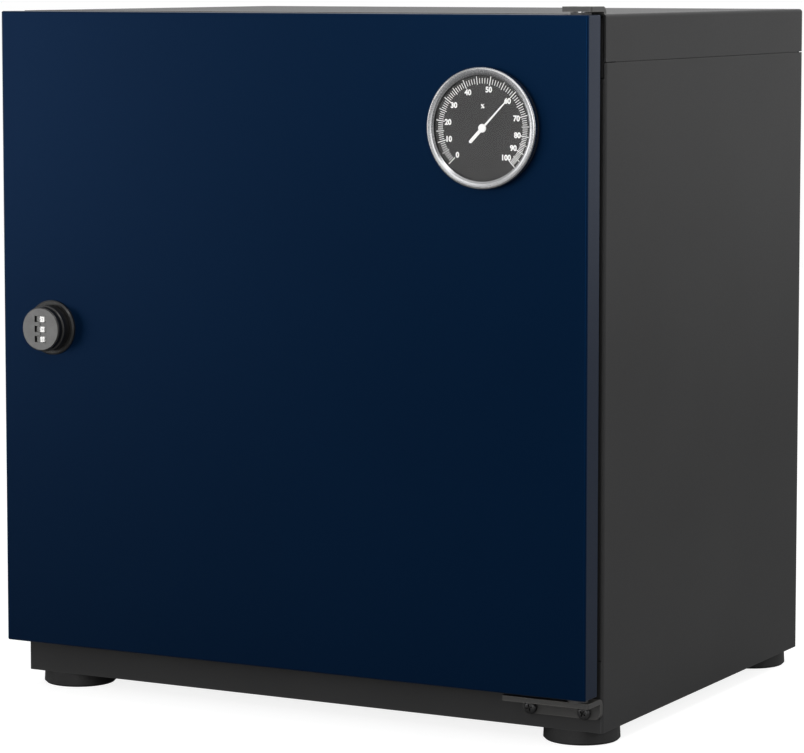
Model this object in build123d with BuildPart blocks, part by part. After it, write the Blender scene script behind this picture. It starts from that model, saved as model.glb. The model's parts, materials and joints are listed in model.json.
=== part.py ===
from build123d import *
import os
from math import cos, radians, sin

os.makedirs("parts", exist_ok=True)

# A free-standing desiccator cabinet for one bench place: a folded steel body, a steel door hung on
# two pin hinges at its right edge, a dial hygrometer and a combination knob lock in the door, and a
# regenerating drying unit behind the lowest shelf's space.
# X points right, Y to the back and Z up. The origin lies on the floor, under the middle of the
# cabinet's overall box, so the feet stand on z = 0.

# ------------------------------------------------------------------ driving dimensions, in mm
# Body
width = 400.0  # over the side panels; the door is as wide
body_depth = 300.0  # side panels, front edge to rear edge
body_height = 416.0  # side panels' lower edge to the top face
sheet = 1.2  # steel sheet of the body and the door skin
fold_radius = 2.0  # outside radius of every fold in that sheet
jamb_width = 22.0  # front returns of the side panels, which the gasket lands on
rear_return = 16.0  # rear returns, which the back panel is screwed to
cover_skirt = 27.2  # depth of the top cover's skirts
seam_gap = 0.5  # between a skirt and the side panel below it
tab_overlap = 8.0  # joggled tab behind the seam
header_height = 36.0  # front channel under the top cover
rail_height = 43.0  # front channel under the door opening
channel_depth = 14.0  # flanges of both front channels
base_lip = 9.0  # upturned edges of the base plate
rail_lip = 10.0  # downturned rear edge of the front rail
tab_setback = 2.0  # joggled tab behind the front channels
tab_end = 6.0  # joggled tab ahead of the rear edge

# Door
door_thickness = 16.0
door_gap = 8.0  # between the door's back and the body's front
door_lift = 23.0  # door's lower edge above the side panels' lower edge
door_drop = 0.2  # door's upper edge below the top face
door_edge_radius = 1.4  # outside radius of the door skin's folds
liner_thickness = 1.0
stiffener_sheet = 0.8
stiffener_width = 28.0
stiffener_foot = 14.0
stiffener_end = 10.0  # channel's ends from the skin's folded edges
gasket_width = 9.0
gasket_inset = 11.0  # from the door's sides
gasket_inset_top = 21.0
gasket_inset_bottom = 9.0
gasket_neck = 1.4  # how much narrower the bellows is on each side
soft_clearance = 0.3  # between a soft or loose piece and what it meets

# Hinges
pivot_inset = 8.5  # pin axis from the door's right side
pivot_setback = 8.5  # pin axis behind the door's front face
pin_radius = 2.5
pin_reach = 12.0  # pin inside the door
pin_chamfer = 0.8
running_clearance = 0.05  # radial, for every shaft in its bore
bush_wall = 2.0
bush_flange_radius = 6.0
bush_floor = 1.5  # closed end of each bush, past the pin's tip
bracket_thickness = 3.0
bracket_fold = 4.0  # outside radius of the brackets' fold
bracket_corner = 4.0
bottom_leg_overhang = 6.0  # leg's left end past the flange
bottom_flange_drop = 12.5  # below the top of the horizontal leg
bottom_leg_drop = 2.1  # leg's top below the door
top_leg_length = 19.0
top_flange_inset = 6.0  # flange's right edge from the leg's, out of sight behind the door
top_leg_rise = 1.4  # leg's underside above the top face
top_flange_drop = 18.0  # below the top face
leg_setback = 4.5  # legs' front edges behind the door's front face
bracket_screw_spacing = 34.5
bracket_screw_inset = 10.0  # from the flange's right end
bracket_screw_margin = 5.5  # from the flange's left end
bracket_screw_drop = 8.9  # below the top of the bottom bracket's leg

# Feet
foot_radius = 22.8
foot_height = 9.0
foot_inset = 23.8  # foot axis from the side panels' outer faces
foot_inset_front = 22.5
foot_edge = 1.2  # chamfer round the tread
foot_neck_radius = 22.4
foot_recess_radius = 6.5
foot_recess_depth = 4.5

# Screws
small_screw = 2.0  # shank radius
small_head = 3.6
small_head_height = 1.8
head_taper = 14.0  # degrees, round the edge of a pan head
sunk_taper = 28.0  # degrees, countersunk heads
rear_screw_end = 30.0  # outermost side screws from the side panels' ends
top_screw_spacing = 7.6  # one above the other
top_screw_drop = 6.0  # upper one below the top face
top_screw_head = 3.0  # countersunk
foot_screw_head = 4.6
foot_head_height = 2.4
foot_nut_thickness = 3.2
bracket_screw_head = 4.0
bracket_head_height = 3.0
screw_reach = 8.0

# Shelves
shelf_sheet = 1.0
shelf_lip = 10.0
shelf_return = 6.0  # flange under the front lip
shelf_side_gap = 1.0  # between a shelf and each rack
shelf_front = 20.0  # behind the body's front face
shelf_rear = 14.0  # ahead of the body's rear edge
shelf_notch = 164.0  # notch in the rear lip, over the drying unit
ledge_width = 12.0
ledge_setback = 4.0  # ledges' front ends behind the front channels
ledge_rear_gap = 12.0  # ledges' rear ends ahead of the body's rear edge
ledge_corner = 5.0
rack_foot = 30.0  # rack plate's lower edge below the floor shelf's top
lower_shelf_rise = 122.0  # above the floor shelf
upper_shelf_rise = 244.0
shelf_slot_length = 84.0
shelf_slot_width = 6.0
shelf_slot_columns = 3
shelf_slot_rows = 4

# Hygrometer, round its own axis
gauge_inset = 65.0  # axis from the door's right side and from its upper edge
gauge_radius = 35.0
bezel_reach = 6.2  # bezel's front before the door's face
bezel_opening = 30.6
bezel_wall = 0.6
bezel_skirt = 3.0  # bezel's rear edge before the door's face
bezel_lip = 0.1  # inner edge of the ring, in front of the lens
bezel_bevel = 1.2  # width of the slope from the ring down to that edge
bezel_drop = 0.2  # ring's fall from its highest circle to the slope
bezel_crown = 1.4  # from the outer edge to the ring's highest circle
gauge_wall = 1.4
gauge_case_radius = 31.0
gauge_case_depth = 12.0  # behind the door's face
gauge_neck_radius = 22.0
gauge_neck_reach = 4.4  # behind the door's back
sensing_slot_length = 12.0
sensing_slot_width = 3.0
sensing_slots = 8
lens_thickness = 0.8
lens_setback = 4.2  # lens's rear face before the door's face
dial_thickness = 0.8
dial_radius = 30.7
dial_setback = 2.1  # dial's rear face before the door's face
arbor_radius = 0.75
pointer_hub_radius = 2.5
pointer_length = 23.2
pointer_tail = 11.8
pointer_thickness = 0.3
pointer_boss = 0.4  # raised middle of the hub
pointer_root = 0.6  # half the blade's width at the hub
pointer_tip = 0.35
pointer_tail_width = 2.0
pointer_gap = 0.3  # between the pointer and the dial
pointer_angle = 44.0  # clockwise from straight up, at rest
clamp_ring_width = 5.0
clamp_ring_thickness = 2.6
clamp_notches = 6
clamp_notch = 2.6

# Combination lock, round its own axis
lock_inset = 36.2  # axis from the door's left side
lock_rise = 198.5  # axis above the door's lower edge
knob_reach = 13.5  # knob's front before the door's face
knob_radius = 14.2
knob_face_radius = 13.4
knob_chamfer = 0.7
knob_land = 3.6  # from the face to the groove round the knob
knob_groove = 0.7
knob_clearance = 0.3
lock_flange_radius = 16.8
lock_flange = 2.4
lock_flange_edge = 0.9
barrel_radius = 9.5
barrel_reach = 5.0  # behind the door's back
lock_nut_flat = 11.0  # half the distance over its flats
lock_nut_thickness = 3.2
spindle_radius = 5.0
wheel_radius = 5.2  # over the corners of its ten faces
wheel_thickness = 3.4
wheel_pitch = 6.2
wheel_stand_proud = 0.4
wheel_side_clearance = 0.2
pocket_clearance = 0.25
window_width = 8.3
window_depth = 2.8
index_width = 0.7  # lines between the windows
index_length = 1.5
index_depth = 0.3
axle_radius = 1.0
axle_length = 23.0
cam_setback = 3.0  # cam's front behind the body's front face
cam_thickness = 2.2
cam_length = 31.0
cam_width = 13.0
square_half = 3.2
cam_screw_head = 5.1
cam_screw_head_height = 2.0
strike_height = 40.0
strike_corner = 4.0

# Drying unit
dryer_width = 140.0
dryer_depth = 92.0
dryer_height = 37.0
dryer_wall = 2.0
grille_width = 112.0
grille_height = 23.0
grille_bars = 8
grille_bar = 3.0
shaft_radius = 2.0
shutter_inset = 5.0  # shutter shafts from the unit's front and rear faces
shutter_drop = 6.0  # shutter shafts below the unit's top
shutter_end_gap = 1.5  # between a flap and the unit's side wall
shaft_end = 0.4  # shaft's left end inside the unit's side
shutter_length = 24.0
shutter_thickness = 1.6
shutter_angle = 55.0  # opening of the inner shutter at rest
crank_length = 9.0
crank_width = 6.0
crank_gap = 0.5  # between a crank and the unit's side
crank_thickness = 2.0
crank_pin_radius = 1.5
crank_pin_end = 1.0  # pin's end past the link
link_thickness = 2.0
link_width = 7.0
basket_depth = 34.0
basket_width = 118.0
basket_height = 18.0
basket_wall = 1.0
basket_slots = 9
basket_slot_width = 4.0
basket_slot_height = 12.0
fill_drop = 2.0  # desiccant's surface below the basket's rim
heater_thickness = 3.0
fin_thickness = 2.0
vent_slot_width = 3.4
vent_slot_length = 22.0
vent_slots = 12
vent_pitch = 10.0

# Mains inlet
inlet_inset = 70.0  # its middle from the body's right side
inlet_rise = 20.0  # its middle above the base plate
inlet_width = 27.0
inlet_height = 20.0
inlet_flange = 4.0
inlet_flange_thickness = 2.4
inlet_depth = 17.0
inlet_wall = 2.0
inlet_corner = 2.0
blade_width = 2.0
blade_height = 4.0
blade_spread = 7.0  # outer blades from the middle one
blade_drop = 1.0  # outer blades below the inlet's middle
blade_rise = 3.0  # middle blade above it
blade_setback = 2.0  # blades' tips behind the flange's face

# ------------------------------------------------------------------ positions worked out from them
half = width / 2
wall = half - sheet  # inner face of a side panel
fold_inner = fold_radius - sheet  # inside radius of a fold, which flat pieces stop short of
overall_depth = knob_reach + wheel_stand_proud + door_thickness + door_gap + body_depth + small_head_height
door_front = knob_reach + wheel_stand_proud - overall_depth / 2
door_back = door_front + door_thickness
front = door_back + door_gap
rear = front + body_depth
bottom = foot_height
top = bottom + body_height
seam = top - cover_skirt
jamb = half - jamb_width
header_bottom = top - sheet - header_height
rail_top = bottom + rail_height
back_outer = rear - sheet
back_inner = back_outer - sheet
base_top = bottom + sheet

door_bottom = bottom + door_lift
door_top = top - door_drop
skin_inner = door_front + sheet
liner_front = door_back - liner_thickness
pivot_x = half - pivot_inset
pivot_y = door_front + pivot_setback
leg_front = door_front + leg_setback
bottom_leg_top = door_bottom - bottom_leg_drop
top_leg_top = top + top_leg_rise + bracket_thickness
bush_radius = pin_radius + bush_wall
bottom_flange_length = bracket_screw_spacing + bracket_screw_inset + bracket_screw_margin
bottom_leg_length = bottom_flange_length + bottom_leg_overhang
top_flange_length = top_leg_length - top_flange_inset

foot_x = half - foot_inset
foot_front_y = front + foot_inset_front
foot_rear_y = rear - foot_inset_front
foot_spots = [(x, y) for x in (-foot_x, foot_x) for y in (foot_front_y, foot_rear_y)]

floor_shelf_top = rail_top
shelf_levels = {
    "floor_shelf": floor_shelf_top,
    "lower_shelf": floor_shelf_top + lower_shelf_rise,
    "upper_shelf": floor_shelf_top + upper_shelf_rise,
}
ledge_front = front + channel_depth + ledge_setback
ledge_rear = rear - ledge_rear_gap
rack_inner = wall - sheet

gauge_x = half - gauge_inset
gauge_z = door_top - gauge_inset
gauge_axis = Axis((gauge_x, door_front, gauge_z), (0, 1, 0))
gauge_profile = Plane(origin=(gauge_x, door_front, gauge_z), x_dir=(1, 0, 0), z_dir=(0, 0, 1))
neck_end = door_thickness + gauge_neck_reach

lock_x = lock_inset - half
lock_z = door_bottom + lock_rise
lock_axis = Axis((lock_x, door_front, lock_z), (0, 1, 0))
lock_profile = Plane(origin=(lock_x, door_front, lock_z), x_dir=(1, 0, 0), z_dir=(0, 0, 1))
wheel_y = door_front - knob_reach - wheel_stand_proud + wheel_radius
wheel_levels = [lock_z + step * wheel_pitch for step in (1, 0, -1)]
cam_front = front + cam_setback
cam_rear = cam_front + cam_thickness

dryer_front = back_inner - dryer_depth
dryer_top = base_top + dryer_height
shutter_z = dryer_top - shutter_drop
inner_shutter_y = dryer_front + shutter_inset
outer_shutter_y = back_inner - shutter_inset
crank_x = dryer_width / 2 + crank_gap
link_x = crank_x + crank_thickness + soft_clearance
basket_y = (dryer_front + back_inner) / 2

rear_screw_x = half - rear_return / 2
rear_screw_levels = (bottom + rear_screw_end, (bottom + seam) / 2, seam - rear_screw_end)
cover_screw_z = top - cover_skirt / 2
cover_screw_spots = [(-half / 2, cover_screw_z), (half / 2, cover_screw_z)]
rear_screw_spots = [(x, z) for x in (-rear_screw_x, rear_screw_x) for z in rear_screw_levels]
rear_screw_spots += cover_screw_spots
bracket_screw_right = half - bracket_screw_inset
bracket_screw_z = bottom_leg_top - bracket_screw_drop
bracket_screw_spots = [
    (bracket_screw_right - bracket_screw_spacing, bracket_screw_z),
    (bracket_screw_right, bracket_screw_z),
]
top_screw_x = half - top_flange_inset - top_flange_length / 2
top_screw_spots = [
    (top_screw_x, top - top_screw_drop - top_screw_spacing),
    (top_screw_x, top - top_screw_drop),
]
inlet_x = half - inlet_inset


# ------------------------------------------------------------------ planes and shared shapes
def facing_front(y):
    """A plane across the cabinet at y that faces the front: local x is X, local y is Z."""
    return Plane.XZ.offset(-y)


def facing_rear(y):
    """A plane across the cabinet at y that faces the rear: local x is -X, local y is Z."""
    return Plane(origin=(0, y, 0), x_dir=(-1, 0, 0), z_dir=(0, 1, 0))


def facing_right(x):
    """A plane along the cabinet at x that faces right: local x is Y, local y is Z."""
    return Plane.YZ.offset(x)


def block(x_range, y_range, z_range, mode=Mode.ADD):
    """A rectangular solid between two values on each axis."""
    spans = (x_range, y_range, z_range)
    middle = tuple((low + high) / 2 for low, high in spans)
    with Locations(middle):
        Box(*(abs(high - low) for low, high in spans), mode=mode)


def folded(plane, corners, length, thickness=sheet, radius=fold_radius, side=Side.RIGHT):
    """Sheet folded along its outer corners, drawn on the plane and run along the plane's normal."""
    with BuildLine() as outline:
        FilletPolyline(*corners, radius=radius)
        offset(amount=thickness, side=side)
    with BuildSketch(plane) as section:
        make_face(outline.edges())
    extrude(section.sketch, amount=length)


def turned(plane, axis, outline):
    """A solid turned round the axis from a closed outline of (radius, distance) points."""
    with BuildSketch(plane) as section:
        with BuildLine() as edge:
            Polyline(*outline, close=True)
        make_face(edge.edges())
    revolve(section.sketch, axis=axis)


def bored(plane, spots, radius, depth):
    """Round holes from the plane against its normal."""
    with BuildSketch(plane) as holes:
        with Locations(*spots):
            Circle(radius)
    extrude(holes.sketch, amount=-depth, mode=Mode.SUBTRACT)


def pan_screws(plane, spots, head=small_head, head_height=small_head_height, reach=screw_reach):
    """Pan-head screws: their heads sit on the plane and point along its normal."""
    with BuildSketch(plane) as heads:
        with Locations(*spots):
            Circle(head)
    extrude(heads.sketch, amount=head_height, taper=head_taper)
    with BuildSketch(plane) as shanks:
        with Locations(*spots):
            Circle(small_screw)
    extrude(shanks.sketch, amount=-reach)


# ------------------------------------------------------------------ body
# A side panel is one C-shaped fold: the front return is the door's jamb, the rear one takes the back
# panel. Its top edge is joggled inwards into a tab, so the cover's skirt lies flush with it.
with BuildPart() as side_panel_right:
    folded(
        Plane.XY.offset(bottom),
        [(jamb, front), (half, front), (half, rear), (half - rear_return, rear)],
        seam - seam_gap - bottom,
        side=Side.LEFT,
    )
    block(
        (wall - sheet, wall),
        (front + channel_depth + tab_setback, rear - tab_end),
        (seam - tab_overlap, top - sheet - fold_inner),
    )
    # The front channels run from wall to wall, so the jamb is cut back for them
    block((jamb - 1, wall), (front - 1, front + fold_radius), (bottom - 1, rail_top), mode=Mode.SUBTRACT)
    block((jamb - 1, wall), (front - 1, front + fold_radius), (header_bottom, top), mode=Mode.SUBTRACT)
    bored(facing_rear(rear), [(-rear_screw_x, z) for z in rear_screw_levels], small_screw, 2 * sheet)
side_panel_right.part.label = "side_panel_right"
export_step(side_panel_right.part, "parts/side_panel_right.step")

with BuildPart() as side_panel_left:
    mirror(side_panel_right.part, about=Plane.YZ)
side_panel_left.part.label = "side_panel_left"
export_step(side_panel_left.part, "parts/side_panel_left.step")

# The top cover is a pan without a front skirt: the header closes it there
with BuildPart() as top_cover:
    block((-half, half), (front, rear), (seam, top))
    outer_edges = top_cover.edges().filter_by(Axis.Y).group_by(Axis.Z)[-1]
    rear_edges = top_cover.edges().group_by(Axis.Y)[-1].filter_by(Axis.X, reverse=True)
    rear_top = top_cover.edges().filter_by(Axis.X).group_by(Axis.Y)[-1].sort_by(Axis.Z)[-1]
    fillet([*outer_edges, *rear_edges, rear_top], radius=fold_radius)
    cover_openings = [top_cover.faces().sort_by(Axis.Z)[0], top_cover.faces().sort_by(Axis.Y)[0]]
    offset(amount=-sheet, openings=cover_openings)
    bored(facing_rear(rear), cover_screw_spots, small_screw, 2 * sheet)
top_cover.part.label = "top_cover"
export_step(top_cover.part, "parts/top_cover.step")

with BuildPart() as header:
    folded(
        facing_right(fold_inner - wall),
        [
            (front + channel_depth, header_bottom),
            (front, header_bottom),
            (front, top - sheet),
            (front + channel_depth, top - sheet),
        ],
        2 * (wall - fold_inner),
    )
    bored(facing_front(front), top_screw_spots, small_screw, 2 * sheet)
header.part.label = "header"
export_step(header.part, "parts/header.step")

with BuildPart() as front_rail:
    folded(
        facing_right(-wall),
        [
            (front, bottom),
            (front, rail_top),
            (front + channel_depth, rail_top),
            (front + channel_depth, rail_top - rail_lip),
        ],
        2 * wall,
    )
    bored(facing_front(front), bracket_screw_spots, small_screw, 2 * sheet)
front_rail.part.label = "front_rail"
export_step(front_rail.part, "parts/front_rail.step")

with BuildPart() as base_plate:
    block((-wall, wall), (front + sheet, back_inner), (bottom, bottom + base_lip))
    fillet(base_plate.edges().group_by(Axis.Z)[0].sort_by(Axis.Y)[:-1], radius=fold_radius)
    base_openings = [base_plate.faces().sort_by(Axis.Z)[-1], base_plate.faces().sort_by(Axis.Y)[-1]]
    offset(amount=-sheet, openings=base_openings)
    bored(Plane.XY.offset(base_top), foot_spots, small_screw, 2 * sheet)
base_plate.part.label = "base_plate"
export_step(base_plate.part, "parts/base_plate.step")

vent_z = base_top + dryer_height / 2
inlet_z = base_top + inlet_rise

with BuildPart() as back_panel:
    with BuildSketch(facing_rear(back_inner)) as back_outline:
        with Locations((0, (bottom + top - sheet - fold_inner) / 2)):
            Rectangle(2 * (wall - fold_inner), top - sheet - fold_inner - bottom)
        with Locations((0, vent_z)):
            with GridLocations(vent_pitch, 1, vent_slots, 1):
                Rectangle(vent_slot_width, vent_slot_length, mode=Mode.SUBTRACT)
        with Locations((-inlet_x, inlet_z)):
            Rectangle(inlet_width, inlet_height, mode=Mode.SUBTRACT)
        with Locations(*[(-x, z) for x, z in rear_screw_spots]):
            Circle(small_screw, mode=Mode.SUBTRACT)
    extrude(amount=sheet)
back_panel.part.label = "back_panel"
export_step(back_panel.part, "parts/back_panel.step")

with BuildPart() as rear_screws:
    pan_screws(facing_rear(rear), rear_screw_spots)
rear_screws.part.label = "rear_screws"
export_step(rear_screws.part, "parts/rear_screws.step")

# ------------------------------------------------------------------ feet
def foot_profile():
    """Half a foot's section, from its axis: a tread, a tapered side and a recess for its screw."""
    with BuildLine() as edge:
        Polyline(
            (foot_recess_radius, 0),
            (foot_radius - foot_edge, 0),
            (foot_radius, foot_edge),
            (foot_neck_radius, foot_height),
            (small_screw, foot_height),
            (small_screw, foot_recess_depth),
            (foot_recess_radius, foot_recess_depth),
            close=True,
        )
    make_face(edge.edges())


foot_names = {
    "foot_front_left": (-foot_x, foot_front_y),
    "foot_front_right": (foot_x, foot_front_y),
    "foot_rear_left": (-foot_x, foot_rear_y),
    "foot_rear_right": (foot_x, foot_rear_y),
}
for foot_name, (x, y) in foot_names.items():
    with BuildPart() as foot:
        with BuildSketch(Plane(origin=(x, y, 0), x_dir=(1, 0, 0), z_dir=(0, -1, 0))) as foot_section:
            foot_profile()
        revolve(axis=Axis((x, y, 0), (0, 0, 1)))
    foot.part.label = foot_name
    export_step(foot.part, f"parts/{foot_name}.step")

with BuildPart() as foot_screws:
    pan_screws(
        Plane(origin=(0, 0, foot_recess_depth), x_dir=(1, 0, 0), z_dir=(0, 0, -1)),
        [(x, -y) for x, y in foot_spots],
        head=foot_screw_head,
        head_height=foot_head_height,
        reach=base_top + foot_nut_thickness - foot_recess_depth,
    )
foot_screws.part.label = "foot_screws"
export_step(foot_screws.part, "parts/foot_screws.step")

with BuildPart() as foot_nuts:
    with BuildSketch(Plane.XY.offset(base_top)) as foot_nut_sections:
        with Locations(*foot_spots):
            RegularPolygon(small_head, 6, major_radius=False)
            Circle(small_screw, mode=Mode.SUBTRACT)
    extrude(amount=foot_nut_thickness)
foot_nuts.part.label = "foot_nuts"
export_step(foot_nuts.part, "parts/foot_nuts.step")

# ------------------------------------------------------------------ shelves
# A rack plate is spot-welded to each side panel; its folded ledges carry the shelves
with BuildPart() as shelf_rack_right:
    with BuildSketch(facing_front(ledge_front)) as rack_section:
        rack_low = floor_shelf_top - rack_foot
        rack_high = seam - tab_overlap - tab_setback
        with Locations((rack_inner + sheet / 2, (rack_low + rack_high) / 2)):
            Rectangle(sheet, rack_high - rack_low)
        for level in shelf_levels.values():
            with Locations((wall - (ledge_width + sheet) / 2, level - shelf_sheet - sheet / 2)):
                Rectangle(ledge_width + sheet, sheet)
    extrude(amount=ledge_front - ledge_rear)
    ledge_corners = shelf_rack_right.edges().filter_by(Axis.Z).group_by(Axis.X)[0]
    fillet(ledge_corners, radius=ledge_corner)
shelf_rack_right.part.label = "shelf_rack_right"
export_step(shelf_rack_right.part, "parts/shelf_rack_right.step")

with BuildPart() as shelf_rack_left:
    mirror(shelf_rack_right.part, about=Plane.YZ)
shelf_rack_left.part.label = "shelf_rack_left"
export_step(shelf_rack_left.part, "parts/shelf_rack_left.step")

shelf_half = rack_inner - shelf_side_gap
shelf_y0 = front + shelf_front
shelf_y1 = rear - shelf_rear
for shelf_name, level in shelf_levels.items():
    with BuildPart() as shelf:
        folded(
            facing_right(-shelf_half),
            [
                (shelf_y0 + shelf_return, level - shelf_lip),
                (shelf_y0, level - shelf_lip),
                (shelf_y0, level),
                (shelf_y1, level),
                (shelf_y1, level - shelf_lip),
            ],
            2 * shelf_half,
            thickness=shelf_sheet,
        )
        # Both lips stop short of the ledges, so the shelf lies flat on them
        for side in (-1, 1):
            block(
                (side * (wall - ledge_width - 1), side * (shelf_half + 1)),
                (shelf_y0 - 1, shelf_y1 + 1),
                (level - shelf_lip - 1, level - shelf_sheet),
                mode=Mode.SUBTRACT,
            )
        # The notch clears the drying unit under the floor shelf; the shelves interchange
        block(
            (-shelf_notch / 2, shelf_notch / 2),
            (shelf_y1 - shelf_lip, shelf_y1 + 1),
            (level - shelf_lip - 1, level - fold_radius),
            mode=Mode.SUBTRACT,
        )
        with BuildSketch(Plane.XY.offset(level)) as slots:
            with Locations((0, (shelf_y0 + shelf_y1) / 2)):
                with GridLocations(
                    2 * shelf_half / shelf_slot_columns,
                    (shelf_y1 - shelf_y0) / (shelf_slot_rows + 0.5),
                    shelf_slot_columns,
                    shelf_slot_rows,
                ):
                    Rectangle(shelf_slot_length, shelf_slot_width)
        extrude(amount=-shelf_sheet, mode=Mode.SUBTRACT)
    shelf.part.label = shelf_name
    export_step(shelf.part, f"parts/{shelf_name}.step")

# ------------------------------------------------------------------ hinges, body side
# Each bracket is an angle: a leg that carries the pin, and a flange screwed to the body's front
with BuildPart() as hinge_bracket_bottom:
    folded(
        facing_right(half - bottom_leg_length),
        [
            (leg_front, bottom_leg_top),
            (front, bottom_leg_top),
            (front, bottom_leg_top - bottom_flange_drop),
        ],
        bottom_leg_length,
        thickness=bracket_thickness,
        radius=bracket_fold,
    )
    block(
        (half - bottom_leg_length - 1, half - bottom_flange_length),
        (leg_front, front + 1),
        (bottom_leg_top - bottom_flange_drop - 1, bottom_leg_top - bracket_thickness),
        mode=Mode.SUBTRACT,
    )
    flange_corners = hinge_bracket_bottom.edges().filter_by(Axis.Y).group_by(Axis.Z)[0]
    fillet(flange_corners, radius=bracket_corner)
    leg_corners = hinge_bracket_bottom.edges().filter_by(Axis.Z).group_by(Axis.Y)[0]
    fillet(leg_corners, radius=bracket_thickness / 2)
    bored(Plane.XY.offset(bottom_leg_top), [(pivot_x, pivot_y)], pin_radius, bracket_thickness)
    bored(facing_front(front - bracket_thickness), bracket_screw_spots, small_screw, bracket_thickness)
hinge_bracket_bottom.part.label = "hinge_bracket_bottom"
export_step(hinge_bracket_bottom.part, "parts/hinge_bracket_bottom.step")

with BuildPart() as hinge_bracket_top:
    folded(
        facing_right(half - top_leg_length),
        [
            (leg_front, top_leg_top),
            (front, top_leg_top),
            (front, top - top_flange_drop),
        ],
        top_leg_length,
        thickness=bracket_thickness,
        radius=bracket_fold,
    )
    block(
        (half - top_flange_inset, half + 1),
        (leg_front, front + 1),
        (top - top_flange_drop - 1, top),
        mode=Mode.SUBTRACT,
    )
    leg_corners = hinge_bracket_top.edges().filter_by(Axis.Z).group_by(Axis.Y)[0]
    fillet(leg_corners, radius=bracket_thickness / 2)
    bored(Plane.XY.offset(top_leg_top), [(pivot_x, pivot_y)], pin_radius, bracket_thickness)
    with BuildSketch(facing_front(front - bracket_thickness)) as sunk_heads:
        with Locations(*top_screw_spots):
            Circle(top_screw_head)
    extrude(amount=-bracket_thickness, taper=sunk_taper, mode=Mode.SUBTRACT)
    bored(facing_front(front - bracket_thickness), top_screw_spots, small_screw, bracket_thickness)
hinge_bracket_top.part.label = "hinge_bracket_top"
export_step(hinge_bracket_top.part, "parts/hinge_bracket_top.step")


def hinge_pin(z_seat, z_tip):
    """A pin pressed into its bracket's leg, from the leg's outer face to its tip."""
    with BuildSketch(Plane.XY.offset(z_seat)) as pin_section:
        with Locations((pivot_x, pivot_y)):
            Circle(pin_radius)
    extrude(pin_section.sketch, amount=z_tip - z_seat)


with BuildPart() as hinge_pin_bottom:
    hinge_pin(bottom_leg_top - bracket_thickness, door_bottom + pin_reach)
    chamfer(hinge_pin_bottom.edges().group_by(Axis.Z)[-1], length=pin_chamfer)
hinge_pin_bottom.part.label = "hinge_pin_bottom"
export_step(hinge_pin_bottom.part, "parts/hinge_pin_bottom.step")

with BuildPart() as hinge_pin_top:
    hinge_pin(top_leg_top, door_top - pin_reach)
    chamfer(hinge_pin_top.edges().group_by(Axis.Z)[0], length=pin_chamfer)
hinge_pin_top.part.label = "hinge_pin_top"
export_step(hinge_pin_top.part, "parts/hinge_pin_top.step")

with BuildPart() as hinge_screws_bottom:
    pan_screws(
        facing_front(front - bracket_thickness),
        bracket_screw_spots,
        head=bracket_screw_head,
        head_height=bracket_head_height,
        reach=bracket_thickness + screw_reach,
    )
hinge_screws_bottom.part.label = "hinge_screws_bottom"
export_step(hinge_screws_bottom.part, "parts/hinge_screws_bottom.step")

with BuildPart() as hinge_screws_top:
    with BuildSketch(facing_front(front - bracket_thickness)) as sunk_screw_heads:
        with Locations(*top_screw_spots):
            Circle(top_screw_head)
    extrude(amount=-bracket_thickness, taper=sunk_taper)
    with BuildSketch(facing_front(front - bracket_thickness)) as sunk_screw_shanks:
        with Locations(*top_screw_spots):
            Circle(small_screw)
    extrude(amount=-bracket_thickness - screw_reach)
hinge_screws_top.part.label = "hinge_screws_top"
export_step(hinge_screws_top.part, "parts/hinge_screws_top.step")

with BuildPart() as lock_strike:
    with BuildSketch(facing_front(front + sheet)) as strike_outline:
        with Locations((-(wall - fold_inner + jamb) / 2, lock_z)):
            Rectangle(wall - fold_inner - jamb, strike_height)
    extrude(amount=-sheet)
    strike_corners = lock_strike.edges().filter_by(Axis.Y).group_by(Axis.X)[-1]
    fillet(strike_corners, radius=strike_corner)
lock_strike.part.label = "lock_strike"
export_step(lock_strike.part, "parts/lock_strike.step")

# ------------------------------------------------------------------ door
with BuildPart() as door_skin:
    block((-half, half), (door_front, door_back), (door_bottom, door_top))
    fillet(door_skin.edges().filter_by(Axis.Z).group_by(Axis.Y)[0], radius=door_edge_radius)
    front_edges = door_skin.edges().group_by(Axis.Y)[0]
    fillet(front_edges, radius=door_edge_radius * 0.7)
    offset(amount=-sheet, openings=door_skin.faces().sort_by(Axis.Y)[-1])
    bored(facing_front(door_front), [(gauge_x, gauge_z)], gauge_case_radius, sheet)
    bored(facing_front(door_front), [(lock_x, lock_z)], barrel_radius, sheet)
    bored(Plane.XY.offset(door_top), [(pivot_x, pivot_y)], bush_radius, sheet)
    bored(Plane.XY.offset(door_bottom + sheet), [(pivot_x, pivot_y)], bush_radius, sheet)
door_skin.part.label = "door_skin"
export_step(door_skin.part, "parts/door_skin.step")

with BuildPart() as door_liner:
    with BuildSketch(facing_front(liner_front)) as liner_outline:
        with Locations((0, (door_bottom + door_top) / 2)):
            Rectangle(2 * wall, door_top - door_bottom - 2 * sheet)
        with Locations((gauge_x, gauge_z)):
            Circle(gauge_neck_radius, mode=Mode.SUBTRACT)
        with Locations((lock_x, lock_z)):
            Circle(barrel_radius, mode=Mode.SUBTRACT)
    extrude(amount=-liner_thickness)
door_liner.part.label = "door_liner"
export_step(door_liner.part, "parts/door_liner.step")

# The hat channel is bonded to the skin and riveted to the liner
with BuildPart() as door_stiffener:
    hat_front = skin_inner + stiffener_sheet
    hat_half = stiffener_width / 2
    folded(
        Plane.XY.offset(door_bottom + sheet + stiffener_end),
        [
            (-hat_half - stiffener_foot, liner_front),
            (-hat_half, liner_front),
            (-hat_half, hat_front),
            (hat_half, hat_front),
            (hat_half, liner_front),
            (hat_half + stiffener_foot, liner_front),
        ],
        door_top - door_bottom - 2 * (sheet + stiffener_end),
        thickness=stiffener_sheet,
        radius=stiffener_sheet * 1.5,
    )
door_stiffener.part.label = "door_stiffener"
export_step(door_stiffener.part, "parts/door_stiffener.step")

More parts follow.
